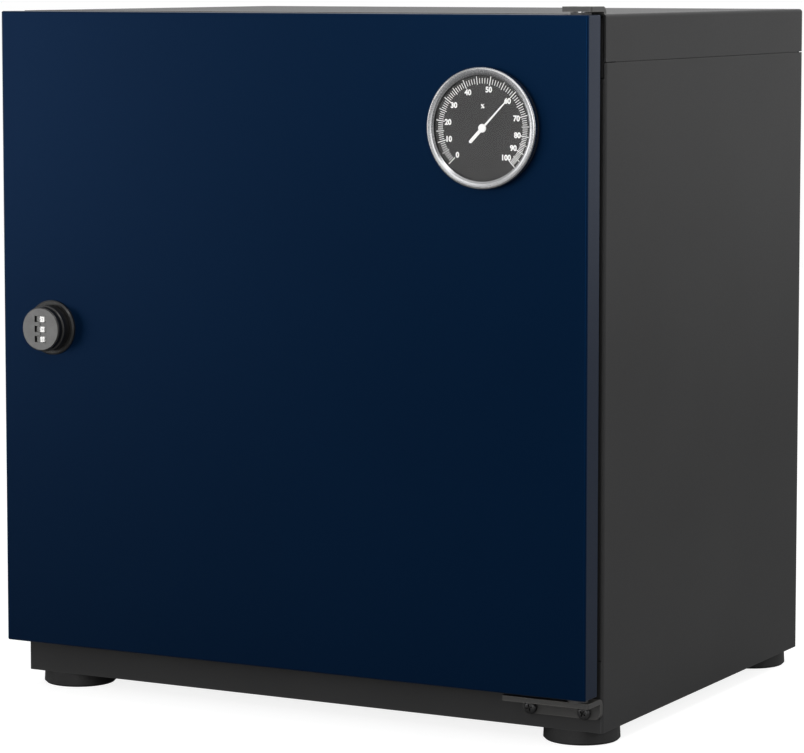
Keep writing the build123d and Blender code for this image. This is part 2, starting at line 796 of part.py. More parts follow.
# The gasket's section is a base strip, a narrower bellows and a magnet strip, mitred at the corners
with BuildPart() as door_gasket:
    gasket_length = 2 * (half - gasket_inset)
    gasket_low = door_bottom + gasket_inset_bottom
    gasket_height = door_top - gasket_inset_top - gasket_low
    gasket_span = door_gap - soft_clearance
    gasket_layers = [(0, 0.25, 0), (0.25, 0.6, gasket_neck), (0.6, 1.0, 0)]
    for start, end, narrowing in gasket_layers:
        inner_inset = gasket_width - narrowing
        with BuildSketch(facing_rear(door_back + start * gasket_span)) as gasket_layer:
            with Locations((0, gasket_low + gasket_height / 2)):
                Rectangle(gasket_length - 2 * narrowing, gasket_height - 2 * narrowing)
                Rectangle(
                    gasket_length - 2 * inner_inset,
                    gasket_height - 2 * inner_inset,
                    mode=Mode.SUBTRACT,
                )
        extrude(amount=(end - start) * gasket_span)
door_gasket.part.label = "door_gasket"
export_step(door_gasket.part, "parts/door_gasket.step")

# Each bush is a flanged sleeve; its flange keeps the door off the bracket
bush_rows = {
    "hinge_bush_bottom": (door_bottom, 1, bottom_leg_drop - soft_clearance),
    "hinge_bush_top": (door_top, -1, top_leg_rise + door_drop - soft_clearance),
}
for bush_name, (door_edge, way, bush_flange) in bush_rows.items():
    with BuildPart() as bush:
        with BuildSketch(Plane.XY.offset(door_edge)) as bush_sleeve:
            with Locations((pivot_x, pivot_y)):
                Circle(bush_radius)
        extrude(amount=way * (pin_reach + bush_floor))
        with BuildSketch(Plane.XY.offset(door_edge)) as bush_collar:
            with Locations((pivot_x, pivot_y)):
                Circle(bush_flange_radius)
        extrude(amount=-way * bush_flange)
        with BuildSketch(Plane.XY.offset(door_edge - way * bush_flange)) as bush_bore:
            with Locations((pivot_x, pivot_y)):
                Circle(pin_radius + running_clearance)
        extrude(amount=way * (bush_flange + pin_reach + soft_clearance), mode=Mode.SUBTRACT)
    bush.part.label = bush_name
    export_step(bush.part, f"parts/{bush_name}.step")

# ------------------------------------------------------------------ hygrometer
lens_rear = -lens_setback
lens_front = lens_rear - lens_thickness
dial_rear = -dial_setback
dial_front = dial_rear - dial_thickness
case_rim = gauge_radius - bezel_wall
case_floor = gauge_case_depth - gauge_wall
bezel_edge_y = bezel_crown - bezel_reach  # where the skirt turns into the ring
bezel_middle = (gauge_radius - bezel_crown + bezel_opening + bezel_bevel) / 2

with BuildPart() as gauge_case:
    turned(
        gauge_profile,
        gauge_axis,
        [
            (0, neck_end),
            (gauge_neck_radius, neck_end),
            (gauge_neck_radius, gauge_case_depth),
            (gauge_case_radius, gauge_case_depth),
            (gauge_case_radius, 0),
            (case_rim, 0),
            (case_rim, lens_rear),
            (dial_radius, lens_rear),
            (dial_radius, dial_rear),
            (gauge_case_radius - gauge_wall, dial_rear),
            (gauge_case_radius - gauge_wall, case_floor),
            (gauge_neck_radius - gauge_wall, case_floor),
            (gauge_neck_radius - gauge_wall, neck_end - gauge_wall),
            (0, neck_end - gauge_wall),
        ],
    )
    # Slots in the neck's end let the cabinet's air reach the sensing coil
    with BuildSketch(facing_rear(door_front + neck_end)) as sensing_windows:
        with Locations((-gauge_x, gauge_z)):
            with PolarLocations(gauge_neck_radius * 0.55, sensing_slots):
                Rectangle(sensing_slot_length, sensing_slot_width)
    extrude(amount=-gauge_wall, mode=Mode.SUBTRACT)
gauge_case.part.label = "gauge_case"
export_step(gauge_case.part, "parts/gauge_case.step")

# The bezel is a shallow convex ring between a short skirt, which clips over the case's rim, and a
# lip over the lens
with BuildPart() as gauge_bezel:
    with BuildSketch(gauge_profile) as bezel_section:
        with BuildLine() as bezel_edge:
            Polyline(
                (case_rim, -bezel_skirt),
                (gauge_radius, -bezel_skirt),
                (gauge_radius, bezel_edge_y),
            )
            ThreePointArc(
                (gauge_radius, bezel_edge_y),
                (gauge_radius - bezel_crown / 3, bezel_drop - bezel_reach),
                (gauge_radius - bezel_crown, -bezel_reach),
            )
            ThreePointArc(
                (gauge_radius - bezel_crown, -bezel_reach),
                (bezel_middle, bezel_drop / 4 - bezel_reach),
                (bezel_opening + bezel_bevel, bezel_drop - bezel_reach),
            )
            Polyline(
                (bezel_opening + bezel_bevel, bezel_drop - bezel_reach),
                (bezel_opening, lens_front - bezel_lip),
                (bezel_opening, lens_front),
                (case_rim, lens_front),
                (case_rim, -bezel_skirt),
            )
        make_face(bezel_edge.edges())
    revolve(axis=gauge_axis)
gauge_bezel.part.label = "gauge_bezel"
export_step(gauge_bezel.part, "parts/gauge_bezel.step")

with BuildPart() as gauge_lens:
    with BuildSketch(facing_front(door_front + lens_front)) as lens_outline:
        with Locations((gauge_x, gauge_z)):
            Circle(case_rim)
    extrude(amount=-lens_thickness)
gauge_lens.part.label = "gauge_lens"
export_step(gauge_lens.part, "parts/gauge_lens.step")

with BuildPart() as gauge_dial:
    with BuildSketch(facing_front(door_front + dial_front)) as dial_outline:
        with Locations((gauge_x, gauge_z)):
            Circle(dial_radius)
            Circle(arbor_radius * 2, mode=Mode.SUBTRACT)
    extrude(amount=-dial_thickness)
gauge_dial.part.label = "gauge_dial"
export_step(gauge_dial.part, "parts/gauge_dial.step")

movement_plate = 5.0  # movement plate's front behind the door's face
movement_plate_thickness = 1.2
movement_radius = 14.0
post_circle = 10.5
post_radius = 1.6

with BuildPart() as gauge_movement:
    with BuildSketch(facing_front(door_front + movement_plate)) as movement_disc:
        with Locations((gauge_x, gauge_z)):
            Circle(movement_radius)
    extrude(amount=-movement_plate_thickness)
    with BuildSketch(facing_front(door_front + dial_rear)) as movement_posts:
        with Locations((gauge_x, gauge_z)):
            Circle(arbor_radius * 3.2)
            with PolarLocations(post_circle, 3, start_angle=90):
                Circle(post_radius)
    extrude(amount=dial_rear - movement_plate)
    with BuildSketch(facing_front(door_front + dial_rear)) as arbor_bore:
        with Locations((gauge_x, gauge_z)):
            Circle(arbor_radius + running_clearance)
    extrude(amount=-(movement_plate + movement_plate_thickness - dial_rear), mode=Mode.SUBTRACT)
gauge_movement.part.label = "gauge_movement"
export_step(gauge_movement.part, "parts/gauge_movement.step")

# The humidity coil is a spiral strip of half turns, hooked to the movement plate at its outer end
coil_turns = 2
coil_start = 2.8
coil_growth = 1.5  # of the radius in each half turn
coil_strip = 0.4
coil_front = movement_plate + movement_plate_thickness
coil_depth = 3.2

with BuildPart() as gauge_coil:
    with BuildSketch(facing_front(door_front + coil_front)) as coil_section:
        for turn in range(2 * coil_turns):
            radius = coil_start + turn * coil_growth
            shift = 0 if turn % 2 == 0 else -coil_growth
            with BuildLine() as half_turn:
                CenterArc((gauge_x + shift, gauge_z), radius, 180 * (turn % 2), 180)
                offset(amount=coil_strip / 2, side=Side.BOTH)
            make_face(half_turn.edges())
    extrude(amount=-coil_depth)
gauge_coil.part.label = "gauge_coil"
export_step(gauge_coil.part, "parts/gauge_coil.step")

with BuildPart() as gauge_clamp_ring:
    with BuildSketch(facing_rear(door_back)) as clamp_outline:
        with Locations((-gauge_x, gauge_z)):
            Circle(gauge_neck_radius + clamp_ring_width)
            with PolarLocations(gauge_neck_radius + clamp_ring_width, clamp_notches):
                Rectangle(clamp_notch, clamp_notch, mode=Mode.SUBTRACT)
            Circle(gauge_neck_radius, mode=Mode.SUBTRACT)
    extrude(amount=clamp_ring_thickness)
gauge_clamp_ring.part.label = "gauge_clamp_ring"
export_step(gauge_clamp_ring.part, "parts/gauge_clamp_ring.step")

# The pointer is drawn straight up and turned to its reading; its arbor runs in the movement
pointer_front = dial_front - pointer_gap - pointer_thickness
pointer_plane = Plane(
    origin=(gauge_x, door_front + pointer_front, gauge_z),
    x_dir=(cos(radians(pointer_angle)), 0, -sin(radians(pointer_angle))),
    z_dir=(0, -1, 0),
)

with BuildPart() as gauge_pointer:
    with BuildSketch(pointer_plane) as pointer_outline:
        Circle(pointer_hub_radius)
        with BuildLine() as pointer_blade:
            Polyline(
                (-pointer_root, 0),
                (-pointer_tip, pointer_length),
                (pointer_tip, pointer_length),
                (pointer_root, 0),
                close=True,
            )
        make_face()
        with Locations((0, -pointer_tail / 2)):
            SlotOverall(pointer_tail, pointer_tail_width, rotation=90)
    extrude(amount=-pointer_thickness)
    with BuildSketch(pointer_plane) as boss_outline:
        Circle(pointer_hub_radius)
    extrude(amount=pointer_boss, taper=20)
    with BuildSketch(pointer_plane) as pointer_arbor:
        Circle(arbor_radius)
    extrude(amount=-(coil_front + 2.0 - pointer_front))
gauge_pointer.part.label = "gauge_pointer"
export_step(gauge_pointer.part, "parts/gauge_pointer.step")

# ------------------------------------------------------------------ combination lock
barrel_end = door_thickness + barrel_reach
spindle_end = cam_front - door_front

with BuildPart() as lock_barrel:
    turned(
        lock_profile,
        lock_axis,
        [
            (spindle_radius + running_clearance, -lock_flange),
            (lock_flange_radius - lock_flange_edge, -lock_flange),
            (lock_flange_radius, lock_flange_edge - lock_flange),
            (lock_flange_radius, 0),
            (barrel_radius, 0),
            (barrel_radius, barrel_end),
            (spindle_radius + running_clearance, barrel_end),
        ],
    )
lock_barrel.part.label = "lock_barrel"
export_step(lock_barrel.part, "parts/lock_barrel.step")

with BuildPart() as lock_nut:
    with BuildSketch(facing_rear(door_back)) as lock_nut_outline:
        with Locations((-lock_x, lock_z)):
            RegularPolygon(lock_nut_flat, 6, major_radius=False)
            Circle(barrel_radius, mode=Mode.SUBTRACT)
    extrude(amount=lock_nut_thickness)
lock_nut.part.label = "lock_nut"
export_step(lock_nut.part, "parts/lock_nut.step")

knob_back = lock_flange + knob_clearance
groove_front = knob_land - knob_reach
groove_rear = groove_front + knob_groove

with BuildPart() as lock_knob:
    turned(
        lock_profile,
        lock_axis,
        [
            (0, -knob_reach),
            (knob_face_radius - knob_chamfer, -knob_reach),
            (knob_face_radius, -knob_reach + knob_chamfer),
            (knob_face_radius, groove_front),
            (knob_face_radius - knob_groove, groove_front),
            (knob_face_radius - knob_groove, groove_rear),
            (knob_radius - knob_chamfer, groove_rear),
            (knob_radius, groove_rear + knob_chamfer),
            (knob_radius, -knob_back - knob_chamfer),
            (knob_radius - knob_chamfer, -knob_back),
            (spindle_radius, -knob_back),
            (spindle_radius, spindle_end),
            (0, spindle_end),
        ],
    )
    # The spindle ends in a square that drives the cam, and is tapped for the cam's screw
    with BuildSketch(facing_rear(cam_front)) as drive_square:
        with Locations((-lock_x, lock_z)):
            Rectangle(2 * square_half, 2 * square_half)
    extrude(amount=cam_thickness)
    bored(facing_rear(cam_rear), [(-lock_x, lock_z)], small_screw, screw_reach)
    for level in wheel_levels:
        pocket_low = level - wheel_thickness / 2 - wheel_side_clearance
        with BuildSketch(Plane.XY.offset(pocket_low)) as wheel_pocket:
            with Locations((lock_x, wheel_y)):
                Circle(wheel_radius + pocket_clearance)
            with Locations((lock_x, door_front - knob_reach)):
                Rectangle(window_width, 2 * window_depth)
        extrude(amount=wheel_thickness + 2 * wheel_side_clearance, mode=Mode.SUBTRACT)
    with BuildSketch(Plane.XY.offset(lock_z - axle_length / 2)) as axle_bore:
        with Locations((lock_x, wheel_y)):
            Circle(axle_radius)
    extrude(amount=axle_length, mode=Mode.SUBTRACT)
    # Index lines between the windows show where the code is read
    with BuildSketch(facing_front(door_front - knob_reach)) as index_lines:
        for level in (lock_z + wheel_pitch / 2, lock_z - wheel_pitch / 2):
            with Locations((lock_x, level)):
                Rectangle(index_width, index_length)
    extrude(amount=-index_depth, mode=Mode.SUBTRACT)
lock_knob.part.label = "lock_knob"
export_step(lock_knob.part, "parts/lock_knob.step")

with BuildPart() as wheel_axle:
    with BuildSketch(Plane.XY.offset(lock_z - axle_length / 2)) as axle_section:
        with Locations((lock_x, wheel_y)):
            Circle(axle_radius)
    extrude(amount=axle_length)
wheel_axle.part.label = "wheel_axle"
export_step(wheel_axle.part, "parts/wheel_axle.step")

# Ten faces for ten numbers, with a thumb notch on each corner
for number, level in enumerate(wheel_levels, start=1):
    with BuildPart() as code_wheel:
        with BuildSketch(Plane.XY.offset(level - wheel_thickness / 2)) as wheel_outline:
            with Locations((lock_x, wheel_y)):
                RegularPolygon(wheel_radius, 10, rotation=18)
                with PolarLocations(wheel_radius, 10, start_angle=18):
                    Rectangle(0.9, 0.8, mode=Mode.SUBTRACT)
                Circle(axle_radius + running_clearance, mode=Mode.SUBTRACT)
        extrude(amount=wheel_thickness)
    code_wheel.part.label = f"code_wheel_{number}"
    export_step(code_wheel.part, f"parts/code_wheel_{number}.step")

with BuildPart() as lock_cam:
    with BuildSketch(facing_rear(cam_front)) as cam_outline:
        with Locations((-lock_x, lock_z)):
            Circle(cam_width * 0.62)
        with Locations((-lock_x, lock_z - cam_length / 2)):
            Rectangle(cam_width, cam_length)
        with Locations((-lock_x, lock_z)):
            Rectangle(2 * square_half, 2 * square_half, mode=Mode.SUBTRACT)
    extrude(amount=cam_thickness)
    cam_corners = lock_cam.edges().filter_by(Axis.Y).group_by(Axis.Z)[0]
    fillet(cam_corners, radius=cam_width / 3)
lock_cam.part.label = "lock_cam"
export_step(lock_cam.part, "parts/lock_cam.step")

with BuildPart() as cam_screw:
    pan_screws(
        facing_rear(cam_rear),
        [(-lock_x, lock_z)],
        head=cam_screw_head,
        head_height=cam_screw_head_height,
    )
cam_screw.part.label = "cam_screw"
export_step(cam_screw.part, "parts/cam_screw.step")

# ------------------------------------------------------------------ drying unit
with BuildPart() as dryer_housing:
    block((-dryer_width / 2, dryer_width / 2), (dryer_front, back_inner), (base_top, dryer_top))
    fillet(dryer_housing.edges().filter_by(Axis.Z).group_by(Axis.Y)[0], radius=4)
    offset(amount=-dryer_wall, openings=dryer_housing.faces().sort_by(Axis.Y)[-1])
    # Upright bars cross the air intake at the front
    with BuildSketch(facing_front(dryer_front)) as grille:
        with Locations((0, (base_top + dryer_top) / 2)):
            with GridLocations((grille_width + grille_bar) / grille_bars, 1, grille_bars, 1):
                Rectangle((grille_width + grille_bar) / grille_bars - grille_bar, grille_height)
    extrude(amount=-dryer_wall, mode=Mode.SUBTRACT)
    for shaft_y in (inner_shutter_y, outer_shutter_y):
        with BuildSketch(facing_right(-dryer_width / 2)) as shaft_bore:
            with Locations((shaft_y, shutter_z)):
                Circle(shaft_radius + running_clearance)
        extrude(amount=dryer_width, mode=Mode.SUBTRACT)
dryer_housing.part.label = "dryer_housing"
export_step(dryer_housing.part, "parts/dryer_housing.step")

# Both shutters are a flap on a shaft with a crank outside the unit; a link joins the cranks, so one
# shuts as the other opens
shutter_rows = {
    "inner_shutter": (inner_shutter_y, shutter_angle),
    "outer_shutter": (outer_shutter_y, 0.0),
}
for shutter_name, (shaft_y, angle) in shutter_rows.items():
    flap_plane = Plane(
        origin=(0, shaft_y, shutter_z),
        x_dir=(1, 0, 0),
        z_dir=(0, -cos(radians(angle)), -sin(radians(angle))),
    )
    with BuildPart() as shutter:
        with BuildSketch(flap_plane.offset(-shutter_thickness / 2)) as flap_outline:
            with Locations((0, -shutter_length / 2)):
                Rectangle(dryer_width - 2 * (dryer_wall + shutter_end_gap), shutter_length)
        extrude(amount=shutter_thickness)
        with BuildSketch(facing_right(shaft_end - dryer_width / 2)) as shaft_section:
            with Locations((shaft_y, shutter_z)):
                Circle(shaft_radius)
        extrude(amount=crank_x + dryer_width / 2 - shaft_end)
        with BuildSketch(facing_right(crank_x)) as crank_outline:
            with Locations((shaft_y, shutter_z - crank_length / 2)):
                SlotOverall(crank_length + crank_width, crank_width, rotation=90)
        extrude(amount=crank_thickness)
        with BuildSketch(facing_right(crank_x + crank_thickness)) as crank_pin:
            with Locations((shaft_y, shutter_z - crank_length)):
                Circle(crank_pin_radius)
        extrude(amount=link_thickness + 2 * soft_clearance + crank_pin_end)
    shutter.part.label = shutter_name
    export_step(shutter.part, f"parts/{shutter_name}.step")

with BuildPart() as shutter_link:
    with BuildSketch(facing_right(link_x)) as link_outline:
        with Locations(((inner_shutter_y + outer_shutter_y) / 2, shutter_z - crank_length)):
            SlotOverall(outer_shutter_y - inner_shutter_y + link_width, link_width)
        with Locations((inner_shutter_y, shutter_z - crank_length)):
            Circle(crank_pin_radius + running_clearance, mode=Mode.SUBTRACT)
        with Locations((outer_shutter_y, shutter_z - crank_length)):
            Circle(crank_pin_radius + soft_clearance, mode=Mode.SUBTRACT)
    extrude(amount=link_thickness)
shutter_link.part.label = "shutter_link"
export_step(shutter_link.part, "parts/shutter_link.step")

heater_z = base_top + dryer_wall

with BuildPart() as dryer_heater:
    block(
        (-basket_width / 2, basket_width / 2),
        (basket_y - basket_depth / 2, basket_y + basket_depth / 2),
        (heater_z, heater_z + heater_thickness),
    )
    with BuildSketch(Plane.XY.offset(heater_z + heater_thickness)) as heater_fins:
        with Locations((0, basket_y)):
            with GridLocations(basket_width / (basket_slots + 1), 1, basket_slots, 1):
                Rectangle(fin_thickness, basket_depth - 2 * fin_thickness)
    extrude(amount=heater_thickness)
dryer_heater.part.label = "dryer_heater"
export_step(dryer_heater.part, "parts/dryer_heater.step")

basket_bottom = heater_z + 2 * heater_thickness

with BuildPart() as desiccant_basket:
    block(
        (-basket_width / 2, basket_width / 2),
        (basket_y - basket_depth / 2, basket_y + basket_depth / 2),
        (basket_bottom, basket_bottom + basket_height),
    )
    fillet(desiccant_basket.edges().filter_by(Axis.Z), radius=3)
    offset(amount=-basket_wall, openings=desiccant_basket.faces().sort_by(Axis.Z)[-1])
    with BuildSketch(facing_front(basket_y - basket_depth / 2)) as basket_windows:
        with Locations((0, basket_bottom + basket_height / 2)):
            with GridLocations(basket_width / (basket_slots + 1), 1, basket_slots, 1):
                Rectangle(basket_slot_width, basket_slot_height)
    extrude(amount=-basket_depth, mode=Mode.SUBTRACT)
desiccant_basket.part.label = "desiccant_basket"
export_step(desiccant_basket.part, "parts/desiccant_basket.step")

with BuildPart() as desiccant_fill:
    block(
        (-basket_width / 2 + basket_wall, basket_width / 2 - basket_wall),
        (basket_y - basket_depth / 2 + basket_wall, basket_y + basket_depth / 2 - basket_wall),
        (basket_bottom + basket_wall, basket_bottom + basket_height - fill_drop),
    )
    fillet(desiccant_fill.edges().filter_by(Axis.Z), radius=3 - basket_wall)
desiccant_fill.part.label = "desiccant_fill"
export_step(desiccant_fill.part, "parts/desiccant_fill.step")

# ------------------------------------------------------------------ mains inlet
inlet_mouth_depth = inlet_depth - inlet_wall
inlet_floor = back_outer + inlet_flange_thickness - inlet_mouth_depth

with BuildPart() as power_inlet:
    with BuildSketch(facing_rear(back_outer)) as inlet_flange_outline:
        with Locations((-inlet_x, inlet_z)):
            RectangleRounded(inlet_width + 2 * inlet_flange, inlet_height + inlet_flange, inlet_corner)
    extrude(amount=inlet_flange_thickness)
    with BuildSketch(facing_rear(back_outer)) as inlet_body:
        with Locations((-inlet_x, inlet_z)):
            Rectangle(inlet_width, inlet_height)
    extrude(amount=-inlet_depth)
    with BuildSketch(facing_rear(back_outer + inlet_flange_thickness)) as inlet_mouth:
        with Locations((-inlet_x, inlet_z)):
            RectangleRounded(inlet_width - 2 * inlet_wall, inlet_height - 2 * inlet_wall, inlet_corner)
    extrude(amount=-inlet_mouth_depth, mode=Mode.SUBTRACT)
power_inlet.part.label = "power_inlet"
export_step(power_inlet.part, "parts/power_inlet.step")

with BuildPart() as inlet_pins:
    with BuildSketch(facing_rear(inlet_floor)) as blade_outline:
        with Locations(
            (-inlet_x - blade_spread, inlet_z - blade_drop),
            (-inlet_x + blade_spread, inlet_z - blade_drop),
            (-inlet_x, inlet_z + blade_rise),
        ):
            Rectangle(blade_width, blade_height)
    extrude(amount=inlet_mouth_depth - blade_setback)
inlet_pins.part.label = "inlet_pins"
export_step(inlet_pins.part, "parts/inlet_pins.step")
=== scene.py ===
import json
from math import cos, pi, radians, sin

import bmesh
import bpy
from mathutils import Matrix, Vector


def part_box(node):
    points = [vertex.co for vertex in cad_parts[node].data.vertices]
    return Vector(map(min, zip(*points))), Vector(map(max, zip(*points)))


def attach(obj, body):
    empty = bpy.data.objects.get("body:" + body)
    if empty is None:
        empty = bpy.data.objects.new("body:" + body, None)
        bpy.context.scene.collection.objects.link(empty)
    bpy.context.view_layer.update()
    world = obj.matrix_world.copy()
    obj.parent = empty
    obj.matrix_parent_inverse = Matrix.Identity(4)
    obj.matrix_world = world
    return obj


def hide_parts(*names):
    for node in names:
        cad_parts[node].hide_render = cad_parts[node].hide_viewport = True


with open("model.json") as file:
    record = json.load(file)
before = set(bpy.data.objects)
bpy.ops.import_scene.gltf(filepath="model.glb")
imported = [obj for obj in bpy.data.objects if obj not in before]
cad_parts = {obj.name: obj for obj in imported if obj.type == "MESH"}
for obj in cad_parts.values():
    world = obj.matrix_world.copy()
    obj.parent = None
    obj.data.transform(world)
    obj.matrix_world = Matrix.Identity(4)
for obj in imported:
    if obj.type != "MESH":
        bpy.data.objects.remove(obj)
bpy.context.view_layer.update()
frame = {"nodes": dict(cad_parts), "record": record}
nodes = frame["nodes"]
slot_of = {entry["node"]: entry["material_slot"] for entry in frame["record"]["subparts"]}
scene = bpy.context.scene
MM = 0.001
CAD_STEP = 0.05 * MM  # the CAD part's places are whole numbers of these
materials = {}


# ---------------------------------------------------------------- shader helpers
def new_material(name):
    """The empty node tree of a new material, which is kept in materials by its name."""
    made = bpy.data.materials.new(name)
    made.use_nodes = True
    made.node_tree.nodes.clear()
    materials[name] = made
    return made.node_tree


def add(tree, kind, **values):
    """A new shader node; values are set on its inputs by name, with _ for a space."""
    made = tree.nodes.new(kind)
    for key, value in values.items():
        made.inputs[key.replace("_", " ")].default_value = value
    return made


def set_or_link(tree, socket, value):
    """Gives a socket its value, which is another socket's output, a number or a colour."""
    if isinstance(value, bpy.types.NodeSocket):
        tree.links.new(value, socket)
    else:
        socket.default_value = value


def grey(level):
    return (level, level, level)


def rgba(colour):
    return (*colour, 1.0)


def scaled(colour, factor):
    """A colour times a factor, kept between 0 and 1."""
    return rgba(tuple(min(1.0, max(0.0, part * factor)) for part in colour))


def positions(tree, stretch=(1, 1, 1)):
    """Object coordinates, which are the part's own metres, stretched along each axis."""
    coordinates = tree.nodes.new("ShaderNodeTexCoord")
    mapping = add(tree, "ShaderNodeMapping", Scale=stretch)
    tree.links.new(coordinates.outputs["Object"], mapping.inputs["Vector"])
    return mapping.outputs["Vector"]


def noise(tree, vector, size, detail=2.0, roughness=0.5):
    """Noise whose features are about size metres wide."""
    made = add(tree, "ShaderNodeTexNoise", Scale=1.0 / size, Detail=detail, Roughness=roughness)
    tree.links.new(vector, made.inputs["Vector"])
    return made.outputs["Fac"]


def spread(tree, factor, low, high, start=0.3, end=0.7):
    """low where factor is start or less, high where it is end or more, even in between."""
    made = add(tree, "ShaderNodeMapRange", From_Min=start, From_Max=end, To_Min=low, To_Max=high)
    tree.links.new(factor, made.inputs["Value"])
    return made.outputs["Result"]


def maths(tree, operation, first, second):
    made = tree.nodes.new("ShaderNodeMath")
    made.operation = operation
    set_or_link(tree, made.inputs[0], first)
    set_or_link(tree, made.inputs[1], second)
    return made.outputs[0]


def blended(tree, factor, first, second):
    """The first colour where factor is 0 and the second where it is 1."""
    made = tree.nodes.new("ShaderNodeMix")
    made.data_type = "RGBA"
    tree.links.new(factor, made.inputs[0])
    set_or_link(tree, made.inputs[6], first)
    set_or_link(tree, made.inputs[7], second)
    return made.outputs[2]


def mixed(tree, factor, first, second):
    """The first shader where factor is 0 and the second where it is 1."""
    made = tree.nodes.new("ShaderNodeMixShader")
    tree.links.new(factor, made.inputs[0])
    tree.links.new(first.outputs[0], made.inputs[1])
    tree.links.new(second.outputs[0], made.inputs[2])
    return made


def show(tree, shader, output="ShaderNodeOutputMaterial"):
    """Makes the shader what the tree shows."""
    made = tree.nodes.new(output)
    tree.links.new(shader.outputs[0], made.inputs["Surface"])


def bumped(tree, height, depth):
    made = add(tree, "ShaderNodeBump", Strength=1.0, Distance=depth)
    tree.links.new(height, made.inputs["Height"])
    return made.outputs["Normal"]


def worn_edges(tree, radius):
    """0 on flat faces, towards 1 within radius of an edge; it masks the paler edges, which are
    partly light wear and partly a painted highlight where rounded edges would catch light.
    """
    rounded = add(tree, "ShaderNodeBevel", Radius=radius)
    rounded.samples = 4
    plain = tree.nodes.new("ShaderNodeNewGeometry")
    product = tree.nodes.new("ShaderNodeVectorMath")
    product.operation = "DOT_PRODUCT"
    tree.links.new(rounded.outputs["Normal"], product.inputs[0])
    tree.links.new(plain.outputs["Normal"], product.inputs[1])
    return spread(tree, product.outputs["Value"], 1.0, 0.0, 0.9, 0.995)


def varied(tree, pattern, colour, share):
    """A colour that the pattern makes darker and paler by a share."""
    factor = spread(tree, pattern, 0.0, 1.0)
    return blended(tree, factor, scaled(colour, 1 - share), scaled(colour, 1 + share))


def surface(
    name,
    colour,
    roughness,
    vary=0.06,
    vary_size=60 * MM,
    grain=1.2 * MM,
    grain_depth=0.02 * MM,
    rough_vary=0.05,
    specular=0.5,
    tint=(1, 1, 1),
    metallic=0.0,
    stretch=(1, 1, 1),
    edge=0.0,
    edge_colour=None,
    speckle=0.0,
    front_level=None,
    front_colour=None,
):
    """An opaque material. Its colour varies by a share over vary_size. A fine grain is in its
    bump and its roughness. edge is how far the paler edges reach in, which are partly light wear
    and partly a painted highlight where rounded edges would catch light, speckle is how strong
    the pale dots are, and front_colour is on what lies in front of front_level along Y."""
    tree = new_material(name)
    vector = positions(tree, stretch)
    broad = noise(tree, positions(tree), vary_size, detail=3.0)
    fine = noise(tree, vector, grain, detail=3.0, roughness=0.6)
    shade = varied(tree, broad, colour, vary)
    if front_colour:
        place = tree.nodes.new("ShaderNodeSeparateXYZ")
        tree.links.new(positions(tree), place.inputs[0])
        fade_end = front_level + 0.05 * MM
        in_front = spread(tree, place.outputs["Y"], 1.0, 0.0, front_level, fade_end)
        shade = blended(tree, in_front, shade, varied(tree, broad, front_colour, vary))
    if speckle:
        dots = noise(tree, vector, grain * 0.45, detail=1.0)
        dotted = spread(tree, dots, 0.0, speckle, 0.55, 0.72)
        shade = blended(tree, dotted, shade, scaled(colour, 2.2))
    # Paler edges: partly light wear and partly a painted highlight where rounded edges would
    # catch light
    if edge:
        edge_wear_and_highlight = spread(tree, worn_edges(tree, edge), 0.0, 0.55, 0.0, 1.0)
        edge_wear_and_highlight_colour = rgba(edge_colour) if edge_colour else scaled(colour, 1.9)
        shade = blended(tree, edge_wear_and_highlight, shade, edge_wear_and_highlight_colour)
    shader = add(
        tree,
        "ShaderNodeBsdfPrincipled",
        Metallic=metallic,
        Specular_IOR_Level=specular,
        Specular_Tint=rgba(tint),
    )
    tree.links.new(shade, shader.inputs["Base Color"])
    rough = spread(tree, fine, roughness - rough_vary, roughness + rough_vary)
    tree.links.new(rough, shader.inputs["Roughness"])
    tree.links.new(bumped(tree, fine, grain_depth), shader.inputs["Normal"])
    show(tree, shader)


def glass(name):
    """Clear glass that lets lamps and shadows through, with a faint waviness in its roughness."""
    tree = new_material(name)
    clear = add(tree, "ShaderNodeBsdfGlass", Color=rgba(grey(0.99)), IOR=1.2)
    wavy = spread(tree, noise(tree, positions(tree), 10 * MM), 0.0, 0.015)
    tree.links.new(wavy, clear.inputs["Roughness"])
    through = add(tree, "ShaderNodeBsdfTransparent", Color=rgba(grey(0.98)))
    rays = tree.nodes.new("ShaderNodeLightPath").outputs
    lighting = maths(tree, "MAXIMUM", rays["Is Shadow Ray"], rays["Is Diffuse Ray"])
    show(tree, mixed(tree, lighting, clear, through))


# ---------------------------------------------------------------- paint on sheet metal
# The dark grey powder coat of the body's panels
surface(
    "body_paint", colour=(0.036, 0.036, 0.0364), roughness=0.4, vary=0.05, vary_size=90 * MM,
    grain=0.9 * MM, grain_depth=0.012 * MM, specular=0.08, edge=0.7 * MM,
)
# The door's blue is in the tint of its gloss as much as in its nearly black base
surface(
    "door_paint", colour=(0.0003, 0.0040, 0.0125), roughness=0.34, vary=0.05,
    vary_size=120 * MM, grain=1.0 * MM, grain_depth=0.014 * MM, rough_vary=0.04,
    specular=0.25, tint=(0.06, 0.32, 1.0), edge=0.6 * MM, edge_colour=(0.01, 0.03, 0.07),
)
# The door's inner pan
surface(
    "liner_paint", colour=(0.05, 0.05, 0.052), roughness=0.5, vary=0.05, vary_size=80 * MM,
    grain=1.0 * MM, grain_depth=0.016 * MM,
)
# Shelves and racks have a coarser coat that shows specks
surface(
    "shelf_paint", colour=(0.07, 0.07, 0.072), roughness=0.55, vary_size=50 * MM,
    grain=0.8 * MM, grain_depth=0.03 * MM, edge=0.6 * MM, speckle=0.25,
)
# The hinge brackets
surface(
    "bracket_paint", colour=(0.034, 0.033, 0.0315), roughness=0.4, vary=0.08,
    vary_size=20 * MM, grain=0.8 * MM, grain_depth=0.015 * MM, edge=0.8 * MM,
    edge_colour=(0.12, 0.115, 0.105),
)

